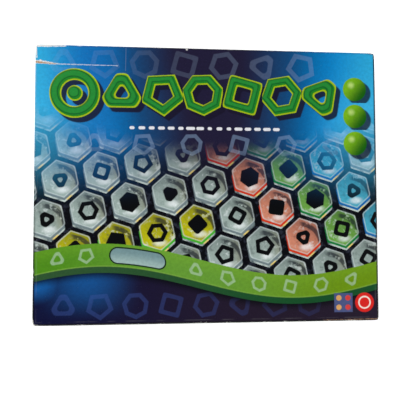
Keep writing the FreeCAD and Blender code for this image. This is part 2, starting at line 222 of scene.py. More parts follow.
def noise(place, scale, detail=3, rough=0.5, stretch=None):
    """Noise from 0 to 1 around 0.5, at so many blobs per unit of place."""
    if stretch:
        place = add_node("Mapping", {"Vector": place, "Scale": stretch}).outputs[0]
    inputs = {"Vector": place, "Scale": scale, "Detail": detail, "Roughness": rough}
    return Num(add_node("TexNoise", inputs).outputs["Fac"])


def parts_of(vector):
    """X, Y and Z of a vector as Nums."""
    return [Num(output) for output in add_node("SeparateXYZ", {0: vector}).outputs]


def as_vector(*parts):
    return add_node("CombineXYZ", enumerate(parts)).outputs[0]


def object_place():
    """Place on a piece as a vector in millimetres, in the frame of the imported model."""
    place = add_node("TexCoord").outputs["Object"]
    return add_node("VectorMath", {0: place, "Scale": 1 / MM}, operation="SCALE").outputs[0]


def sheet_place():
    """Place on the flat sheet that a tray is wrapped in, with the paper used since its face as Z."""
    return add_node("Attribute", attribute_name="sheet").outputs["Vector"]


def raised(height, distance, strength=0.5):
    """A bump of that distance in millimetres times a Num from 0 to 1."""
    inputs = {"Strength": strength, "Distance": distance * MM, "Height": height}
    return add_node("Bump", inputs).outputs[0]


def start_tree(owner):
    """Makes the node tree of a material or the world, emptied, the one being written."""
    owner.use_nodes = True
    Num.tree = owner.node_tree
    Num.tree.nodes.clear()


def surface(look, *details, name=None, place_of=object_place, shadow_tint=None, **options):
    """A material whose shader has the inputs that look gives. It is named after look or by name.

    With a shadow tint, lamps shine through it in that colour."""
    material = bpy.data.materials.new(name or look.__name__)
    start_tree(material)
    shader = add_node("BsdfPrincipled", look(place_of(), *details, **options))
    if shadow_tint:
        shadow_ray = add_node("LightPath").outputs["Is Shadow Ray"]
        clear = add_node("BsdfTransparent", {"Color": shadow_tint})
        shader = add_node("MixShader", {0: shadow_ray, 1: shader.outputs[0], 2: clear.outputs[0]})
    add_node("OutputMaterial", {"Surface": shader.outputs[0]})
    return material


# -------- the carton's printed design, with places measured from the middle of the lid
def nearest_in_row(value, start, pitch, count):
    """Number of the nearest of a row of places, and how far past it the value is."""
    index = highest(lowest(round((value - start) / pitch), count - 1), 0)
    return index, value - index * pitch - start


def polygon(x, y, sides, turn, corner, soft):
    """How far out from a polygon's middle a point is, square to its sides, or less round its corners.

    The second result is the cosine of half a side's angle."""
    wedge = 2 * math.pi / sides
    across = (calculate("ARCTAN2", x, y) + turn) % wedge - wedge * 0.5
    reach = length(x, y)
    out = calculate("SMOOTH_MAX", reach * calculate("COSINE", across), reach * corner, soft)
    return out, calculate("COSINE", wedge * 0.5)


def polygon_row(x, y, start, pitch, count, size):
    """How far a point is from the outline of the nearest of a row of polygons.

    They have 3, 5, 7, 4 and 6 sides in turn, and each is turned further than the last."""
    index, local_x = nearest_in_row(x, start, pitch, count)
    out, half_side = polygon(local_x, y, index * 2 % 5 + 3, index * 0.7, 0.74, size * 0.14)
    return abs(out - half_side**0.7 * size)


wall_row = {"start": -88, "pitch": 22, "count": 9}


def title_distance(x, y):
    """How far a point is from the middle of the strokes of the large green shapes."""
    row = polygon_row(x, y - 89, start=-86, pitch=39.6, count=6, size=15.6)
    ring = length(x + 131, y - 88)
    return lowest(row, abs(ring - 18.5) - 0.9, ring - 2.8)


def ribbon_middle(x):
    """Height of the green ribbon's middle line."""
    return calculate("SINE", (x + 10) / 60) * -16 - 86


def paint_ground(x, y):
    """Cyan at both sides and dark between. The lower edge is dark too, with a glow under the ribbon."""
    off_middle = abs(x) + hump(y, 45, 85) * (14 - ramp(x, -20, 20) * 8)
    glow = hump(y, 40, 90) * ramp(off_middle, 96, 172)
    under = mix(ramp(x, -168, 60), ink(12, 14, 52), ink(34, 24, 42))
    wide_glow = hump(x, -118, 54) * ramp(y, -134, -92) * 0.6
    corner_glow = hump(x, -168, 36) * hump(y, -94, 24)
    return layered(
        navy,
        (ramp(off_middle, 28, 112), ink(0, 82, 138)),
        (ramp(off_middle, 76, 140), ink(0, 132, 202)),
        (ramp(off_middle, 116, 172), ink(42, 166, 214)),
        (glow * (ramp(x, -50, 50) * 0.45 + 0.45), ink(66, 184, 234)),
        (ramp(y, -40, -92), under),
        (highest(wide_glow, corner_glow), ink(16, 96, 170)),
    )


def paint_ghosts(colour, x, y):
    """Faint rows of polygons behind everything."""
    top_row = polygon_row(x, y - 118, start=-142, pitch=39, count=7, size=12)
    middle_row = polygon_row(x, y - 39, start=-112, pitch=47, count=6, size=9)
    low_row = polygon_row(x, y + 117, start=-140, pitch=34, count=8, size=10.5)
    right_side = ramp(x, -100, 120)
    return layered(
        colour,
        (within(top_row, 2.3) * (right_side * 0.1 + 0.07), ink(150, 170, 205)),
        (within(middle_row, 1.8) * 0.26, ink(150, 178, 216)),
        (within(low_row, 2) * (0.2 - right_side * 0.12), ink(70, 96, 176)),
    )


tile_pitch = 40
tile_apothem = 16.2
tile_turn = math.radians(12)
tile_drop = 5  # the seen side of a tile, below its face
tile_ring = 2.2  # coloured upper part of that side, over a clear lower part
coloured_runs = (  # direction of a run, its place, its ends, face and edge colours
    (0, -1, -3.6, -0.4, ink(182, 180, 8), ink(66, 172, 44)),
    (2, -1, -2.6, 0.6, ink(206, 132, 106), ink(204, 54, 18)),
    (2, -2, -3.1, 0.1, ink(104, 160, 66), ink(10, 118, 56)),
    (2, -3, -3.6, -0.4, ink(68, 164, 190), ink(10, 100, 168)),
)


def nearest_tile(x, y):
    """A place seen from the middle of the nearest tile of a honeycomb, and that middle."""
    candidates = []
    for shift in (0, 0.5):
        local = [
            (calculate("FRACT", value / size + shift) - 0.5) * size
            for value, size in ((x, tile_pitch), (y, tile_pitch * math.sqrt(3)))
        ]
        candidates.append((length(*local), local))
    (first_reach, first), (second_reach, second) = candidates
    pick = first_reach > second_reach
    local_x, local_y = [a + (b - a) * pick for a, b in zip(first, second)]
    return local_x, local_y, x - local_x, y - local_y


def hexagon(x, y):
    """How far out from a tile's middle a point is, square to its sides."""
    return calculate("SMOOTH_MAX", abs(x), abs(x) * 0.5 + abs(y) * (math.sqrt(3) / 2), 3)


def polygon_glyph(x, y, centre_x, centre_y):
    """A dark polygon in the middle of a tile, of a kind and turn that vary from tile to tile."""
    middle = as_vector(round(centre_x), round(centre_y))
    white_noise = add_node("TexWhiteNoise", {"Vector": middle}, noise_dimensions="2D")
    chance = Num(white_noise.outputs["Value"])
    sides = calculate("FLOOR", chance * 3.99) + 3
    out, half_side = polygon(x, y + 1, sides, chance * 5, 0.8, 1)
    off_outline = out - half_side * 8
    filled = calculate("FRACT", chance * 7) > 0.72
    return within(highest(off_outline, -off_outline * (1 - filled)), 2)


def paint_tiles(colour, x, y):
    """A honeycomb of domed tiles, some of them coloured, which fades upwards into the ground."""
    local_x, local_y, centre_x, centre_y = nearest_tile(*turned(x, y, tile_turn))
    down_x, down_y = turned(0, -tile_drop, tile_turn)
    face = hexagon(local_x, local_y)
    side = hexagon(local_x - down_x, local_y - down_y)

    face_colour = mix(ramp(local_x, 2, 15) * 0.35, ink(154, 172, 166), ink(150, 140, 84))
    edge_colour = ink(110, 126, 130)
    for direction, place, start, end, run_face, run_edge in coloured_runs:
        along, across = turned(centre_x, centre_y, math.radians(60 * direction))
        off_run = abs(across / tile_pitch - place * math.sqrt(3) / 2)
        on_run = within(off_run, 0.3, 0.1) * between(along / tile_pitch, start, end, 0.1)
        face_colour = mix(on_run, face_colour, run_face)
        edge_colour = mix(on_run, edge_colour, run_edge)

    reach = length(local_x, local_y)
    swirl = as_vector(local_x / reach * 1.6, local_y / reach * 1.6, reach * 0.16 + centre_x)
    glass = noise(swirl, 1, detail=5, rough=0.62)
    crescent = between(length(local_x + 5, local_y + 8), 18.5, 23, 0.8) * ramp(local_x, -3, 3)
    gleam = length(local_x * 0.55 + local_y * 0.2 + 2, local_y + 11)
    rim = between(face, tile_apothem - 1, tile_apothem + 0.2, 0.5)
    face_colour = layered(
        mix(0.4, face_colour, near_black),
        (ramp(local_y * 0.8 + local_x * 0.5, 14, -12), face_colour),
        (ramp(glass, 0.54, 0.7) * 0.5, ink(226, 236, 236)),
        (ramp(glass, 0.46, 0.32) * 0.4, ink(40, 50, 58)),
        (crescent * ramp(glass, 0.62, 0.5) * 0.8, ink(26, 32, 42)),
        (ramp(gleam, 5, 1) * 0.6, ink(240, 246, 246)),
        (polygon_glyph(local_x, local_y, centre_x, centre_y), ink(6, 8, 11)),
        (rim * 0.5, ink(206, 218, 220)),
    )
    clear_side = layered(
        ink(84, 98, 102),
        (ramp(glass, 0.36, 0.6), ink(190, 204, 198)),
        (ramp(length(local_x - 5, local_y * 1.6 + 31), 5.5, 2) * 0.9, ink(232, 206, 116)),
    )
    below_ring = ramp(face - tile_apothem, tile_ring - 0.3, tile_ring + 0.3)
    depths = noise(as_vector(x, y), 0.16, detail=5, rough=0.6)
    field = layered(
        ink(6, 7, 14),
        (ramp(depths, 0.5, 0.66) * 0.6, ink(48, 53, 68)),
        (within(side, tile_apothem, 0.6), mix(below_ring, edge_colour, clear_side)),
        (within(face, tile_apothem, 0.6), face_colour),
        (ramp(y, -24, 60) * 0.66, colour),
    )
    shown = ramp(y - abs(x) * abs(x) * 0.0014, 44, 12) * within(ribbon_middle(x), y)
    return mix(shown, colour, field)


def paint_ribbon(colour, x, y):
    """A green ribbon in a wave, with a darker lower face, a shadow and a plain window."""
    high = y - ribbon_middle(x)
    marks = polygon_row(x, high - 1.5, start=-146, pitch=27, count=2, size=6.2)
    more_marks = polygon_row(x, high - 1.5, start=-14, pitch=31, count=6, size=6.2)
    window = length(highest(abs(x + 70) - 19, 0), high - 1.5)
    light_face = layered(
        ink(76, 136, 24),
        (ramp(x, -168, -20), ink(98, 150, 50)),
        (ramp(x, -10, 150), ink(104, 143, 8)),
        (ramp(high, -2, 12) * 0.25, ink(122, 172, 46)),
    )
    return layered(
        colour,
        (ramp(high, -24, -13) * within(high, 0), ink(4, 6, 12)),
        (between(high, -15.5, 10), mix(ramp(x, -160, 120), ink(44, 81, 46), ink(18, 76, 38))),
        (between(high, -9, 12.5), light_face),
        (between(high, -9.6, -8.4) * 0.5, ink(134, 180, 70)),
        (within(lowest(marks, more_marks), 1.2) * 0.5, ink(176, 204, 172)),
        (within(window, 8.4), ink(20, 42, 26)),
        (within(window, 7), mix(ramp(high, -7, 7), ink(156, 182, 178), ink(112, 142, 146))),
    )


def paint_title(colour, x, y):
    """Large green shapes with a lime outline, a dark shadow and a fine line inside their strokes."""
    stroke = title_distance(x, y)
    shadow = title_distance(x - 4.6, y + 4.6)
    inner_line = title_distance(x + 1.1, y - 1.1)
    return layered(
        colour,
        (within(shadow, 4.8, 0.7) * 0.94, shadow_ink),
        (within(stroke, 4.8), lime),
        (within(stroke, 3.5, 0.5), glyph_green),
        (within(inner_line, 1.4, 1.2) * 0.5, ink(40, 142, 66)),
        (between(inner_line, 1.7, 2.7, 0.5) * 0.85, glyph_line),
    )


def paint_balls(colour, x, y):
    """Three glossy balls above one another, with a shadow behind them."""
    _, ball_y = nearest_in_row(y, start=42, pitch=27.5, count=3)
    ball_x = x - 147
    green = layered(
        ink(120, 178, 24),
        (ramp(ball_x * 0.8 - ball_y * 0.6, -9, 11), ink(20, 92, 12)),
        (ramp(length(ball_x + 3.6, ball_y - 4.2), 5, 0.5) * 0.6, ink(206, 232, 140)),
    )
    return layered(
        colour,
        (within(length(ball_x - 4.6, ball_y + 4), 12.2, 0.9) * 0.9, shadow_ink),
        (within(length(ball_x, ball_y), 12), green),
    )


def paint_small_print(colour, x, y):
    """A row of white dashes under the title, a square with four dots and a red disc."""
    pitch = 9.5
    index = round(x / pitch)
    half_dash = calculate("FRACT", calculate("SINE", index * 12.9) * 43.7) * 2.4 + 0.6
    dash = length(highest(abs(x - index * pitch) - half_dash, 0), y - 55)
    square_x = abs(x - 132.5)
    square_y = abs(y + 117)
    dot_ink = mix(within(x, 132.5), ink(206, 62, 60), ink(214, 160, 96))
    disc = length(x - 154, y + 117)
    return layered(
        colour,
        (within(dash, 1.5) * between(x, -80.7, 71.2), pale_ink),
        (within(highest(square_x, square_y), 9.3), ink(74, 84, 128)),
        (within(length(square_x - 4.6, square_y - 4.6), 2.7), dot_ink),
        (within(disc, 9.6), ink(214, 34, 28)),
        (between(disc, 5, 6.4), ink(244, 226, 214)),
    )


def paint_walls(colour, ground, x, y, down):
    """The face's print runs a little way down the walls, over a row of outlined shapes and a green band."""
    along = x + (y - x) * (abs(x) > flat_x + 0.01)
    depth = down - fold
    shadow = polygon_row(along - 1.6, depth - 27.6, size=8.4, **wall_row)
    row = polygon_row(along, depth - 26, size=8.4, **wall_row)
    printed = layered(
        colour,
        (ramp(depth, 2, 4.5), ground),
        (within(shadow, 2.5), shadow_ink),
        (within(row, 2.4), lime),
        (within(row, 1.6, 0.3), glyph_green),
        (between(depth, 43, 60) * 0.85, ink(74, 136, 24)),
        (between(depth, 42.2, 43.4), ink(150, 190, 40)),
    )
    return mix(down > fold * 0.9, colour, printed)


# -------- wear of the lid's paper, with painted shade and a painted highlight along its edges
tear_root = (-169.5, 117.8)  # at the lid's left edge
tear_end = (-149, 116.1)
crease_end = (-90, 115.7)
upright_crease = ((-82, 139), (-82.5, 111))
rubbed_edge = ((-169, 133.6), (-140, 133.9))  # fluffed paper on the upper edge
rubbed_corner = ((-168.2, 134), (-167.2, 122))
fluff = (-163.6, 119.2)
brown_edge = ((112, -133.9), (168, -133.4))  # board showing along the lower right edge
nick = (-22.6, 133.6)


def worn_line(x, y, ends, ragged, width, taper, soft=0.3):
    """1 along a ragged line from one place to another, which gets thinner on its way by the taper."""
    (start_x, start_y), (end_x, end_y) = ends
    step_x = end_x - start_x
    step_y = end_y - start_y
    off_x = x - start_x
    off_y = y - start_y
    share = (off_x * step_x + off_y * step_y) / (step_x * step_x + step_y * step_y)
    share = lowest(highest(share, 0), 1)
    off_line = length(off_x - share * step_x, off_y - share * step_y)
    return within(off_line + ragged, width - share * taper, soft)


def lid_wear(x, y, down, place):
    """How much white paper core shows (with a faint painted highlight line just inside the edges), how much bare
    board shows, how rubbed the gloss is, and how much painted shade darkens the edges.
    """
    rough = noise(place, 0.5, detail=5, rough=0.7)
    fine = noise(place, 2.4, rough=0.65)
    patches = noise(place, 0.045, rough=0.6)
    ragged = (rough - 0.5) * 4 + (fine - 0.5) * 2.4

    past_x = abs(x) - flat_x
    past_y = abs(y) - flat_y
    across_edge = highest(past_x, past_y)
    edges = highest(
        hump(across_edge, fold / 2, 1.8, 0.3),
        hump(lowest(past_x, past_y), fold * 0.3, 1.7, 0.3) * 0.85,
        hump(down, fold + wall_height, 1.4, 0.2),
    )
    at_corner = ramp(length(past_x, past_y), 9, 0.5)
    amount = at_corner * 0.1 + (patches - 0.5) * 0.5
    scuffed = ramp(rough * 0.5 + fine * 0.5 + amount + edges * 0.1, 0.66, 0.72) * ramp(edges, 0, 0.3)
    # painted highlight: a faint pale line just inside the edges, stronger lower down, for light caught by the
    # rounded edge; it is painted as part of the core
    inner_line = hump(across_edge, -1.9, 0.7) * ramp(patches, 0.42, 0.6) * ramp(y, 60, -60)

    tear = (tear_root, tear_end)
    fluffed = ragged - ramp(y, 115.6, 118.4) * 0.5
    crease = worn_line(x, y, (tear_end, crease_end), (rough - 0.5) * 3, 0.42, 0.2)
    core = highest(
        worn_line(x, y, tear, fluffed, 1.35, 0.8) * 0.9,
        crease * ramp(rough * 0.4 + fine * 0.6, 0.4, 0.52) * 0.9,
        within(length(x - fluff[0], (y - fluff[1]) * 1.6) + ragged * 1.5, 1.2, 0.4),
        worn_line(x, y, rubbed_edge, ragged * 0.8, 1.25, 0.6, 0.35) * 0.95,
        worn_line(x, y, rubbed_corner, ragged * 0.8, 0.9, 0.6, 0.35) * 0.95,
        ramp(length(x - nick[0], y - nick[1]), 1.4, 0.5) * 0.85,
        scuffed * 0.85,
        worn_line(x, y, upright_crease, (fine - 0.5) * 0.8, 0.3, 0) * 0.09,
        inner_line * 0.05,
    )
    bare = highest(
        worn_line(x, y, tear, ragged, 0.95, 0.75),
        worn_line(x, y, brown_edge, ragged * 0.7, 0.1, -0.25) * 0.7,
    )
    rubbed = highest(edges * 0.6, ramp(rough, 0.5, 0.8) * 0.35)
    # painted shade along the edges: a little all round, and most on the right, the bottom and the lower left,
    # which face away from the light
    lower_left = ramp(x, -160, -167) * ramp(y, 20, -110)
    facing_away = highest(ramp(x, 160, 167), ramp(y, -127, -134), lower_left)
    painted_edge_shade = ramp(across_edge, -1, 0.4) * ramp(across_edge, fold + 1.6, fold) * (facing_away * 0.74 + 0.16)
    return core, bare, rubbed, painted_edge_shade


def lid_paper(place):
    """Printed and varnished paper of the lid, with its wear, painted shade along its edges and a faint painted
    highlight just inside them.
    """
    x, y, down = parts_of(place)
    ground = paint_ground(x, y)
    colour = ground
    for paint in (paint_ghosts, paint_tiles, paint_ribbon, paint_title, paint_balls, paint_small_print):
        colour = paint(colour, x, y)
    core, bare, rubbed, painted_edge_shade = lid_wear(x, y, down, place)
    worn = highest(core, bare)
    mottle = noise(place, 0.35)
    fibre = noise(place, 2.2, detail=4, rough=0.7)
    colour = layered(
        paint_walls(colour, ground, x, y, down),
        (ramp(mottle, 0.3, 0.7) * 0.12, ink(0, 0, 0)),
        # painted shade along the edges, in near black
        (painted_edge_shade, ink(8, 7, 12)),
        (core, mix(fibre, ink(196, 192, 184), ink(250, 250, 248))),
        (bare, mix(fibre, ink(120, 78, 48), ink(206, 164, 126))),
    )
    return {
        "Base Color": colour,
        "Roughness": 0.2 + mottle * 0.1 + rubbed * 0.14 + worn * 0.5,
        "Normal": raised(fibre * (0.16 + worn * 0.84) - bare * 0.6, 0.12),
        "Specular IOR Level": 0.2,
    }


# -------- pieces and shells built from rings
def add_object(name, data, material=None):
    """A new object in the scene."""
    if material:
        data.materials.append(material)
    thing = bpy.data.objects.new(name, data)
    bpy.context.scene.collection.objects.link(thing)
    return thing


def grid_lines(reach, coarse, fine=()):
    """Places from -reach to reach. Fine is a stretch with places close together: start, end, step."""
    lines = set(np.linspace(-reach, reach, round(2 * reach / coarse) + 1).round(4))
    for near_end in (0.6, 1.2, 2, 3):
        lines |= {round(near_end - reach, 4), round(reach - near_end, 4)}
    if fine:
        lines |= set(np.arange(*fine).round(4))
    kept = []
    for line in sorted(lines):
        if not kept or line - kept[-1] > 0.45:
            kept.append(float(line))
    kept[-1] = reach
    return kept


def unmoved(*place):
    return 0


class Tray:
    """A rectangular tray's skin: flat faces joined by rings that follow its rounded outline.

    Each ring is (how far it stands out from the flat face's edge, its height, paper used so far)."""

    corner_steps = 6
    sharp_angle = math.radians(40)

    def __init__(self, x_lines, y_lines):
        self.x_lines = x_lines
        self.y_lines = y_lines
        self.points = []
        self.faces = []
        self.sheet = []
        self.stops = self.outline()

    def outline(self):
        """The outline's stops, anticlockwise: (place on the flat face's edge, way out there, way out of
        the nearest side, paper between the end of that side and the stop)."""
        half_x = self.x_lines[-1]
        half_y = self.y_lines[-1]
        stops = []
        for places, out in (
            ([(half_x, y) for y in self.y_lines], (1, 0)),
            ([(x, half_y) for x in reversed(self.x_lines)], (0, 1)),
            ([(-half_x, y) for y in reversed(self.y_lines)], (-1, 0)),
            ([(x, -half_y) for x in self.x_lines], (0, -1)),
        ):
            stops += [(place, out, out, 0) for place in places]
            after = (-out[1], out[0])
            for step in range(1, self.corner_steps):
                angle = math.pi / 2 * step / self.corner_steps
                way = turned(*out, -angle)
                if step <= self.corner_steps / 2:
                    stops.append((places[-1], way, out, edge_radius * angle))
                else:
                    stops.append((places[-1], way, after, edge_radius * (angle - math.pi / 2)))
        return stops

    def add_face(self, face, sheet, up=True):
        """Adds a face with its places on the sheet, the other way round where it doesn't face up."""
        order = 1 if up else -1
        self.faces.append(face[::order])
        self.sheet += sheet[::order]

    def flat(self, height, drop=unmoved, up=True):
        """The flat face. Drop gives how far a place on it lies under that height."""
        first = len(self.points)
        columns = len(self.x_lines)
        self.points += [(x, y, height - drop(x, y)) for y in self.y_lines for x in self.x_lines]
        for row in range(len(self.y_lines) - 1):
            for column in range(columns - 1):
                corner = first + row * columns + column
                face = [corner, corner + 1, corner + columns + 1, corner + columns]
                self.add_face(face, [(*self.points[i][:2], 0) for i in face], up)
        return self

    def ring(self, stand_out, height, shift=unmoved):
        """Adds a ring's points and returns their numbers. Inside the tray its corners are sharp."""
        first = len(self.points)
        for (x, y), way, _, _ in self.stops:
            if stand_out < 0 and abs(way[0]) + abs(way[1]) > 1.0001:
                way = tuple(math.copysign(1, part) for part in way)
            reach = stand_out - shift((x, y), way, height)
            self.points.append((x + way[0] * reach, y + way[1] * reach, height))
        return range(first, len(self.points))

    def wall(self, rings, shift=unmoved):
        """Joins rings one below the other. Shift moves a point inwards, but not in the first ring."""
        (stand_out, height, used_above), *lower = rings
        above = self.ring(stand_out, height)
        for stand_out, height, used in lower:
            below = self.ring(stand_out, height, shift)
            for i, stop in enumerate(self.stops):
                j = (i + 1) % len(self.stops)
                after = self.stops[j]
                corners = ((stop, used_above), (stop, used), (after, used), (after, used_above))
                sheet = [self.unfolded(corner, after[2], so_far) for corner, so_far in corners]
                self.add_face([above[i], below[i], below[j], above[j]], sheet)
            above, used_above = below, used
        return self

    @staticmethod
    def unfolded(stop, out, used):
        """Place of a stop on the flat sheet, as part of the side that faces out, and paper used so far."""
        (x, y), _, own, turn = stop
        if own != out:
            turn -= fold
        return x + out[0] * used - out[1] * turn, y + out[1] * used + out[0] * turn, used

    def build(self, name, material):
        mesh = bpy.data.meshes.new(name)
        mesh.from_pydata([(x * MM, y * MM, z * MM) for x, y, z in self.points], [], self.faces)
        attribute = mesh.attributes.new("sheet", "FLOAT_VECTOR", "CORNER")
        attribute.data.foreach_set("vector", np.array(self.sheet, np.float32).ravel())
        work = bmesh.new()
        work.from_mesh(mesh)
        bmesh.ops.remove_doubles(work, verts=work.verts, dist=0.002 * MM)
        work.to_mesh(mesh)
        work.free()
        mesh.set_sharp_from_angle(angle=self.sharp_angle)
        return add_object(name, mesh, material)


def quarter_round(height, radius, steps=5):
    """Rings over a rounded edge, from the flat face down to the wall."""
    angles = [math.pi / 2 * step / steps for step in range(steps + 1)]
    return [(radius * math.sin(a), height - radius * (1 - math.cos(a)), radius * a) for a in angles]


sag_depth = 0.3
wave_depth = 0.05
tear_depth, tear_width = 0.2, 0.9
crease_depth, crease_width = 0.04, 1.6
bow_depth = 0.22
crush_depth, crush_reach, crush_height = 0.55, 3, 14


def hollow(x, y):
    """How far the lid's face lies under its highest plane: a slight sag, the tear and its creases."""
    sag = sag_depth * math.cos(x / half_length * 1.45) * math.cos(y / half_width * 1.45)
    wave = wave_depth * (1 + math.sin(x / 31 + y / 47) * math.cos(y / 23))
    to_rim = min(flat_x - abs(x), flat_y - abs(y))
    depth = (sag + wave) * min(1, to_rim / 6)
    along = (x - tear_root[0]) / (crease_end[0] - tear_root[0])
    tear_y = tear_root[1] + along * (crease_end[1] - tear_root[1])
    if 0 < along < 1:
        depth += tear_depth * math.exp(-(((y - tear_y) / tear_width) ** 2)) * (1 - along)
    (crease_x, _), (_, crease_foot) = upright_crease
    if y > crease_foot:
        depth += crease_depth * math.exp(-(((x - crease_x) / crease_width) ** 2))
    return depth


def wall_bow(place, way, height):
    """How far the lid's walls bow inwards, most at half length, and how far its corners are crushed."""
    x, y = place
    down = lid_top - height
    along = y / flat_y if abs(way[0]) > abs(way[1]) else x / flat_x
    bow = bow_depth * (1 - along * along) * math.sin(math.pi * down / (lid_top - lid_rim)) ** 2
    corner = max(0, 1 - math.hypot(flat_x - abs(x), flat_y - abs(y)) / crush_reach)
    near_top = max(0, 1 - down / crush_height)
    return bow + crush_depth * corner**2 * near_top


def make_lid():
    """The lid's paper, from its face down the walls and round their foot to the turn-in inside."""
    skin = Tray(grid_lines(flat_x, 4, (-166, -84, 1.2)), grid_lines(flat_y, 4, (111, 124, 0.5)))
    skin.flat(lid_top, hollow)
    rings = quarter_round(lid_top, edge_radius)
    heights = np.linspace(lid_top - edge_radius, lid_rim + 0.6, 10)[1:]
    rings += [(edge_radius, z, fold + lid_top - edge_radius - z) for z in heights]
    used = rings[-1][2]
    inner = edge_radius - board_thickness - 2 * paper
    rings += [
        (edge_radius - 0.2, lid_rim + 0.12, used + 0.5),
        (edge_radius - 0.6, lid_rim, used + 0.9),
        (inner + 0.4, lid_rim, used + 1.8),
        (inner, lid_rim + 0.4, used + 2.3),
        (inner, lid_rim + 7, used + 9),
        (inner, lid_rim + 14, used + 16),
    ]
    skin.wall(rings, wall_bow)
    lid = skin.build("lid_print", surface(lid_paper, place_of=sheet_place))
    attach(lid, "lid")
    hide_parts("lid_wrap")


def make_greyboard():
    """The lid's board. Its outside stays clear of the paper, which sags and is crushed at the corners."""
    clearance = 0.7
    outer = edge_radius - clearance
    top = lid_top - clearance
    foot = lid_rim + paper
    ceiling = lid_top - paper - board_thickness
    board = Tray(grid_lines(flat_x, 40), grid_lines(flat_y, 40)).flat(top)
    board.wall(quarter_round(top, outer) + [(outer, foot, 60), (0, foot, 62), (0, ceiling, 115)])
    board.flat(ceiling, up=False)
    piece = board.build("lid_greyboard", surface(greyboard))
    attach(piece, "lid")
    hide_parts("lid_board")


# -------- looks of the other pieces
def greyboard(place):
    """Unprinted board: dull brown fibre with dark and pale flecks."""
    fibre = noise(place, 0.9, detail=4, rough=0.7)
    flecks = ramp(noise(place, 1.5, detail=1), 0.7, 0.78)
    colour = layered(
        ink(152, 128, 102),
        (noise(place, 0.06), ink(180, 154, 124)),
        (fibre * 0.6, ink(200, 178, 150)),
        (flecks * 0.6, ink(98, 84, 70)),
    )
    normal = raised(fibre, 0.15, 0.6)
    return {"Base Color": colour, "Roughness": 0.88, "Normal": normal, "Specular IOR Level": 0.3}


def base_print(place, underneath=False):
    """Dark blue varnished paper with scuffed edges: small shapes on the walls, or scratches underneath."""
    x, y, z = parts_of(place)
    _, (base_x, base_y, base_top) = node_box("base_wrap")
    colour = mix(noise(place, 0.03, detail=2), ink(16, 24, 66), ink(26, 52, 104))
    rough = noise(place, 0.5, detail=5, rough=0.7)
    fibre = noise(place, 2.2, detail=4, rough=0.7)
    patches = noise(place, 0.05, rough=0.6)
    off_upright = length(base_x - 0.5 - abs(x), base_y - 0.5 - abs(y))
    off_outline = lowest(base_x - abs(x), base_y - abs(y))
    edges = highest(
        ramp(off_upright, 2.4, 0.4), ramp(base_top - z, 1.3, 0.2), ramp(z + off_outline, 1.6, 0.2)
    )
    worn = rough * 0.65 + fibre * 0.35 + edges * 0.08 + (patches - 0.5) * 0.5
    core = ramp(worn, 0.66, 0.71) * ramp(edges, 0, 0.3) * 0.8
    if underneath:
        dragged = noise(place, 0.3, detail=4, rough=0.7, stretch=(0.06, 2.2, 1))
        slanting = noise(as_vector(x + y * 0.6, y - x * 0.6), 0.3, stretch=(0.04, 2.6, 1))
        scratches = highest(ramp(dragged, 0.68, 0.74), ramp(slanting, 0.7, 0.76))
        smears = ramp(noise(place, 0.12, detail=6, rough=0.75), 0.6, 0.7)
        core = highest(core, scratches * ramp(patches, 0.42, 0.66) * 0.35, smears * 0.4)
    else:
        along = x + (y - x) * (abs(x) > base_x - 0.3)
        row = polygon_row(along, z - 32, size=7.6, **wall_row)
        colour = layered(colour, (within(row, 1.9), lime), (within(row, 1.2, 0.3), glyph_green))
    paper_core = mix(fibre, ink(190, 186, 178), ink(244, 243, 240))
    return {
        "Base Color": mix(core, colour, paper_core),
        "Roughness": 0.34 + rough * 0.12 + core * 0.4,
        "Normal": raised(fibre * (0.2 + core * 0.8), 0.1),
        "Specular IOR Level": 0.3,
    }


def kraft_tape(place):
    """Brown gummed paper tape with long fibres and a slight sheen."""
    fibre = noise(place, 0.7, detail=5, rough=0.7, stretch=(1, 1, 0.16))
    cloud = noise(place, 0.12, detail=2)
    colour = layered(ink(164, 128, 84), (fibre, ink(208, 176, 128)), (cloud * 0.3, ink(140, 106, 70)))
    return {"Base Color": colour, "Roughness": 0.62 + cloud * 0.15, "Normal": raised(fibre, 0.08)}


def thermoformed_sheet(place):
    """Glossy white polystyrene sheet, faintly rippled by the mould and yellower low down."""
    _, _, z = parts_of(place)
    grain = noise(place, 3, detail=2)
    dust = ramp(noise(place, 0.25, detail=6, rough=0.75), 0.58, 0.72)
    colour = mix(ramp(z, 46, 5), ink(232, 232, 228), ink(222, 220, 210))
    normal = raised(noise(place, 0.07, detail=2) * 0.85 + grain * 0.15, 0.35)
    dusty = mix(dust * 0.14, colour, ink(170, 164, 150))
    return {"Base Color": dusty, "Roughness": 0.26 + dust * 0.2 + grain * 0.06, "Normal": normal}


def moulded_plastic(place, colour, gloss, grain=0.05, grain_scale=3.5):
    """Moulded plastic or rubber with a fine sandy texture, cloudy gloss and faint scratches."""
    texture = noise(place, grain_scale, rough=0.6)
    cloud = noise(place, 0.05)
    scratches = ramp(noise(place, 0.35, detail=4, stretch=(1, 0.08, 1)), 0.66, 0.72)
    lighter = (*[min(1, channel * 1.5 + 0.02) for channel in colour[:3]], 1)
    dusty = layered(colour, (texture * 0.5 + cloud * 0.3, lighter), (scratches * 0.18, ink(150, 150, 150)))
    return {
        "Base Color": dusty,
        "Roughness": gloss + cloud * 0.12 + scratches * 0.1,
        "Normal": raised(texture * 0.9 - scratches * 0.3, grain, 0.6),
    }


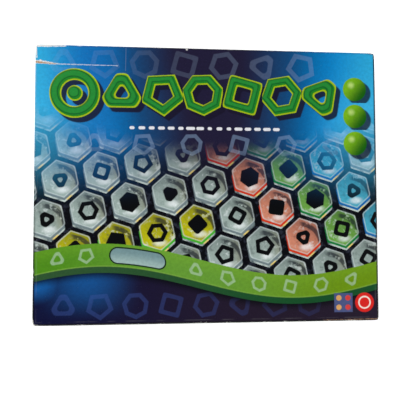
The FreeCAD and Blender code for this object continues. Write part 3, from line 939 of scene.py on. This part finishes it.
def ring_plastic(place):
    """Glossy green plastic of the word ring, slightly cloudy, with handling marks, and painted shade that darkens
    it low down.
    """
    _, _, z = parts_of(place)
    ring_top = node_box("word_ring")[1].z
    cloud = noise(place, 0.04)
    haze = ramp(noise(place, 0.3, detail=5, rough=0.7), 0.5, 0.75)
    colour = layered(
        ink(92, 158, 34),
        (cloud, ink(122, 182, 62)),
        # painted shade: darker towards the ring's foot
        (ramp(z, ring_top - 4, ring_top - 12) * 0.5, ink(44, 112, 34)),
    )
    return {
        "Base Color": colour,
        "Roughness": 0.16 + haze * 0.2,
        "Normal": raised(cloud * 0.4 + noise(place, 2.5, detail=2) * 0.1, 0.12, 0.4),
        "Coat Weight": 0.25,
        "Coat Roughness": 0.08,
    }


def clear_plastic(place, tint, edge_tint, haze):
    """Clear or tinted polished plastic, with slight ripples and smudges."""
    ripple = noise(place, 0.25, detail=2)
    smudge = ramp(noise(place, 0.2, detail=5, rough=0.7), 0.52, 0.72)
    return {
        "Base Color": mix(ripple, tint, edge_tint),
        "Roughness": haze + smudge * 0.1,
        "Normal": raised(ripple, 0.06, 0.3),
        "Transmission Weight": 1,
        "IOR": 1.49,
    }


def plated_steel(place):
    """Zinc-plated steel with turning marks and a dull bloom."""
    marks = noise(place, 4, stretch=(1, 1, 0.1))
    bloom = noise(place, 0.5, detail=4)
    colour = mix(bloom, ink(150, 150, 152), ink(190, 190, 188))
    normal = raised(marks, 0.04)
    return {"Base Color": colour, "Roughness": 0.26 + bloom * 0.2, "Normal": normal, "Metallic": 1}


def page_edges(place):
    """A stack of uncoated pages: off-white, with fine lines where the sheets lie on one another."""
    sheets = noise(place, 2, stretch=(0.1, 0.1, 6))
    fibre = noise(place, 1.2, detail=4)
    colour = mix(ramp(sheets, 0.4, 0.6), ink(206, 202, 190), ink(240, 238, 230))
    return {"Base Color": colour, "Roughness": 0.8, "Normal": raised(sheets * 0.7 + fibre * 0.3, 0.06)}


def booklet_cover(place):
    """Coated cover of the rule booklet: blue ground, a green band and one row of shapes."""
    low, high = node_box("rulebook_cover")
    middle = (low + high) / 2
    x, y, _ = parts_of(place)
    x = x - middle.x
    y = y - middle.y
    row = polygon_row(x, y - 30, start=-52, pitch=26, count=5, size=9.5)
    wave = y + 38 + calculate("SINE", x / 22) * 6
    worn = ramp(noise(place, 0.5, detail=5, rough=0.75), 0.66, 0.72)
    colour = layered(
        ink(34, 40, 92),
        (ramp(length(x, y), 20, 96), ink(60, 150, 200)),
        (within(row, 2.8), lime),
        (within(row, 2, 0.3), glyph_green),
        (between(wave, -9, 9), ink(94, 158, 36)),
        (worn * 0.5, ink(214, 212, 206)),
    )
    crumple = noise(place, 0.05)
    normal = raised(crumple * 0.9 + noise(place, 1.6, detail=4) * 0.1, 0.5, 0.4)
    return {"Base Color": colour, "Roughness": 0.36 + worn * 0.3, "Normal": normal}


# -------- the discs of letters
foot_low, foot_high = node_box("board_foot")
board_x, board_y, _ = (foot_low + foot_high) / 2
lens_pitch = 20.5
lens_radius = 8.5
lens_grid_turn = 26  # degrees
lens_reach = 90.4  # no lens is centred further out
spare_turn = 10 * 47  # degrees that the uppermost spare disc is turned by
label_radius = 106.75  # middle of the word ring's window
label_count = 20
label_half_length = 9.6
letter_size = 10.5  # gives a cap height of 7.5 mm


def disc_print(place, turn):
    """Black printed board with a pale round field under each lens and pale labels round its rim.

    Turn is the disc's own, in degrees."""
    x, y, _ = parts_of(place)
    x = x - board_x
    y = y - board_y
    across, along = turned(x, y, math.radians(lens_grid_turn + turn))
    across = across / lens_pitch
    along = along / lens_pitch
    column = round(across)
    row = round(along)
    off_lens = length(across - column, along - row) * lens_pitch
    in_reach = within(length(column, row) * lens_pitch, lens_reach, 0.1)

    outside = length(x, y)
    step = 2 * math.pi / label_count
    round_rim = calculate("ARCTAN2", x, -y) - math.radians(turn)
    round_rim = (round_rim - round(round_rim / step) * step) * label_radius
    off_middle = abs(outside - label_radius)
    label = within(highest(abs(round_rim) - label_half_length, off_middle), 2.6, 0.1)
    dash_pitch = 3.2
    off_dash = abs(round_rim - round(round_rim / dash_pitch) * dash_pitch) - 0.7
    dash = within(length(highest(off_dash, 0), off_middle), 0.6, 0.1)

    fibre = noise(place, 1.6, detail=4)
    scuff = ramp(noise(place, 0.4, detail=5, rough=0.75), 0.64, 0.7)
    pale = mix(fibre, ink(206, 212, 214), ink(230, 234, 234))
    cut_edge = outside > node_box("puzzle_disc")[1].x - board_x - 0.05
    colour = layered(
        ink(16, 17, 26),
        (noise(place, 0.05, detail=2), ink(26, 28, 42)),
        (within(off_lens, lens_radius - 1, 0.15) * in_reach, pale),
        (label, pale),
        (dash * label, near_black),
        (cut_edge, mix(fibre, ink(140, 128, 110), ink(180, 168, 148))),
        (scuff * 0.35, ink(150, 150, 150)),
    )
    roughness = 0.42 + scuff * 0.3 + cut_edge * 0.3
    return {"Base Color": colour, "Roughness": roughness, "Normal": raised(fibre, 0.08, 0.4)}


def letter_ink(place):
    """Black printing ink with tiny gaps."""
    gaps = ramp(noise(place, 3), 0.62, 0.72)
    colour = mix(gaps * 0.4, ink(14, 14, 16), ink(70, 70, 74))
    return {"Base Color": colour, "Roughness": 0.4 + gaps * 0.2}


def lens_places():
    """Centres of the lenses, seen from the board's axis: a turned square grid."""
    count = int(lens_reach / lens_pitch) + 1
    steps = [step * lens_pitch for step in range(-count, count + 1)]
    grid = [(across, along) for across in steps for along in steps]
    turn = math.radians(-lens_grid_turn)
    return [turned(*place, turn) for place in grid if math.hypot(*place) <= lens_reach]


def letter_mesh(letter):
    """One capital letter as a flat mesh, centred."""
    curve = bpy.data.curves.new(f"letter_{letter}", "FONT")
    curve.body = letter
    curve.align_x = curve.align_y = "CENTER"
    curve.size = letter_size * MM
    curve.offset = 0.25 * MM
    curve.resolution_u = 3
    holder = add_object(f"letter_{letter}", curve)
    bpy.context.view_layer.update()
    shape = bpy.data.meshes.new_from_object(holder.evaluated_get(bpy.context.evaluated_depsgraph_get()))
    bpy.data.objects.remove(holder)
    return shape


def print_letters(name, kinds, material, height, turn, body):
    """One chance letter in each round field of a disc that is turned by so many degrees."""
    letter_turn = Matrix.Rotation(math.radians(lens_grid_turn + turn), 4, "Z")
    disc_turn = Matrix.Rotation(math.radians(turn), 2)
    work = bmesh.new()
    for place in lens_places():
        first = len(work.verts)
        work.from_mesh(kinds[random.choice(sorted(kinds))])
        work.verts.ensure_lookup_table()
        x, y = disc_turn @ Vector(place)
        centre = [part * MM for part in (board_x + x, board_y + y, height)]
        bmesh.ops.transform(work, matrix=Matrix.Translation(centre) @ letter_turn, verts=work.verts[first:])
    mesh = bpy.data.meshes.new(name)
    work.to_mesh(mesh)
    work.free()
    letters = add_object(name, mesh, material)
    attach(letters, body)


def make_puzzle_card():
    """The disc in play. Its face lies just under the lens plate, and carries one chance letter per lens."""
    low, high = node_box("puzzle_disc")
    mesh = nodes["puzzle_disc"].data.copy()
    mesh.name = "puzzle_card"
    face_gap = 0.14
    for vertex in mesh.vertices:
        if vertex.co.z > (low.z + high.z) / 2 * MM:
            vertex.co.z -= face_gap * MM
    mesh.materials.clear()
    card = add_object("puzzle_card", mesh, surface(disc_print, turn=0))
    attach(card, "turntable")
    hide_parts("puzzle_disc")

    black = surface(letter_ink)
    kinds = {letter: letter_mesh(letter) for letter in "ABCDEFGHIKLNOPRSTUWZ"}
    print_letters("disc_letters", kinds, black, high.z - face_gap + 0.03, 0, "turntable")
    spare_top = node_box("spare_puzzle_discs")[1].z + 0.01
    print_letters(
        "spare_disc_letters", kinds, black, spare_top, spare_turn, "box_base"
    )


def dress_frame():
    """Gives every node of the frame that stays in sight its material."""
    black = ink(22, 23, 30)
    tape = surface(kraft_tape)
    steel = surface(plated_steel)
    materials = {
        "base_board": surface(greyboard),
        "base_wrap": surface(base_print),
        "base_underside": surface(base_print, name="underside_print", underneath=True),
        "lid_corner_stays": tape,
        "base_corner_stays": tape,
        "insert_tray": surface(thermoformed_sheet),
        "rulebook_pages": surface(page_edges),
        "rulebook_cover": surface(booklet_cover),
        "rulebook_staples": steel,
        "spindle_washer": steel,
        "spindle_screw": steel,
        "spare_puzzle_discs": surface(disc_print, name="spare_disc_print", turn=spare_turn),
        "board_foot": surface(moulded_plastic, black, 0.42, name="foot_plastic"),
        "turntable_tray": surface(moulded_plastic, black, 0.36, name="table_plastic"),
        "rubber_feet": surface(
            moulded_plastic, ink(34, 34, 35), 0.72, name="foot_rubber", grain=0.1, grain_scale=2
        ),
        "glide_pads": surface(moulded_plastic, ink(226, 226, 220), 0.34, name="pad_plastic", grain=0.02),
        "word_ring": surface(ring_plastic),
    }
    for node, name, tint, edge_tint, haze in (
        ("lens_plate", "lens_clear", ink(246, 250, 250), ink(232, 242, 244), 0.03),
        ("tokens_yellow", "token_yellow", ink(244, 234, 84), ink(232, 214, 40), 0.04),
        ("tokens_red", "token_red", ink(242, 132, 96), ink(230, 92, 54), 0.04),
        ("tokens_green", "token_green", ink(164, 222, 140), ink(112, 196, 100), 0.04),
        ("tokens_blue", "token_blue", ink(148, 212, 242), ink(92, 178, 230), 0.04),
    ):
        materials[node] = surface(clear_plastic, tint, edge_tint, haze, name=name, shadow_tint=tint)
    for node, material in materials.items():
        nodes[node].data.materials.clear()
        nodes[node].data.materials.append(material)


# -------- stage, lamps and camera
def camera_for_photo():
    camera = bpy.data.cameras.new("camera")
    camera.sensor_width = sensor
    camera.lens = focal_pixels / image_side * sensor
    camera.clip_start = 10 * MM
    viewer = add_object("camera", camera)
    viewer.rotation_mode = "ZYX"
    viewer.rotation_euler = [math.radians(angle) for angle in camera_turn]
    viewer.location = [part * MM for part in camera_place]
    bpy.context.scene.camera = viewer


def seen_directly():
    """1 for what the camera sees straight on, and 1 for what it sees in a mirror or through glass."""
    light_path = add_node("LightPath")
    straight, mirrored, through = [
        Num(light_path.outputs[f"Is {kind} Ray"]) for kind in ("Camera", "Glossy", "Transmission")
    ]
    return straight, highest(mirrored, through)


def studio_floor(place):
    """Pale paper that the camera sees as plain white. It glows a little more far off."""
    x, y, _ = parts_of(place)
    far_off = ramp(length(x, y), 400, 1600)
    return {
        "Base Color": (0.8, 0.8, 0.8, 1),
        "Roughness": 0.9,
        "Specular IOR Level": 0,
        "Emission Color": plain_white,
        "Emission Strength": highest(*seen_directly()) * (far_off * 0.1 + 0.62),
    }


def make_floor():
    mesh = bpy.data.meshes.new("studio_floor")
    reach = 4
    corners = [(-reach, -reach, 0), (reach, -reach, 0), (reach, reach, 0), (-reach, reach, 0)]
    mesh.from_pydata(corners, [], [(0, 1, 2, 3)])
    floor = add_object("studio_floor", mesh, surface(studio_floor))
    floor.location.z = -0.2 * MM
    floor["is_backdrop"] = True


def make_world():
    """A pale room with a darker ceiling. The camera sees it as plain white."""
    world = bpy.data.worlds.new("studio")
    bpy.context.scene.world = world
    start_tree(world)
    _, _, upwards = parts_of(add_node("TexCoord").outputs["Generated"])
    straight, other = seen_directly()
    plain_level = 0.38
    room = 0.8 - ramp(upwards, 0.25, 0.75) * 0.7
    light = plain_level + (room - plain_level) * other
    light = light + (1 - light) * straight
    background = add_node("Background", {"Color": plain_white, "Strength": light})
    add_node("OutputWorld", {"Surface": background.outputs[0]})


def soft_lamp(name, place, size, power):
    """A square soft lamp that faces the carton. Place and size are in metres."""
    lamp = bpy.data.lights.new(name, "AREA")
    lamp.shape = "SQUARE"
    lamp.size = size
    lamp.energy = power
    holder = add_object(name, lamp)
    holder.location = place
    holder.rotation_euler = (Vector((0, 0, 0.04)) - Vector(place)).to_track_quat("-Z", "Y").to_euler()


# -------- the whole scene
random.seed(4)
make_lid()
make_greyboard()
dress_frame()
make_puzzle_card()
camera_for_photo()
make_floor()
make_world()
soft_lamp("key_lamp", (-1.15, 0.75, 1.05), 0.9, 20)
soft_lamp("fill_lamp", (1.25, -0.55, 0.95), 1.1, 9)
soft_lamp("front_lamp", (-0.2, -1.35, 0.8), 0.9, 8)
bpy.context.scene.view_settings.view_transform = "Standard"

size_report = {"cad": [list(corner) for corner in cad_box], "visual": [list(corner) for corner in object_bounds()]}
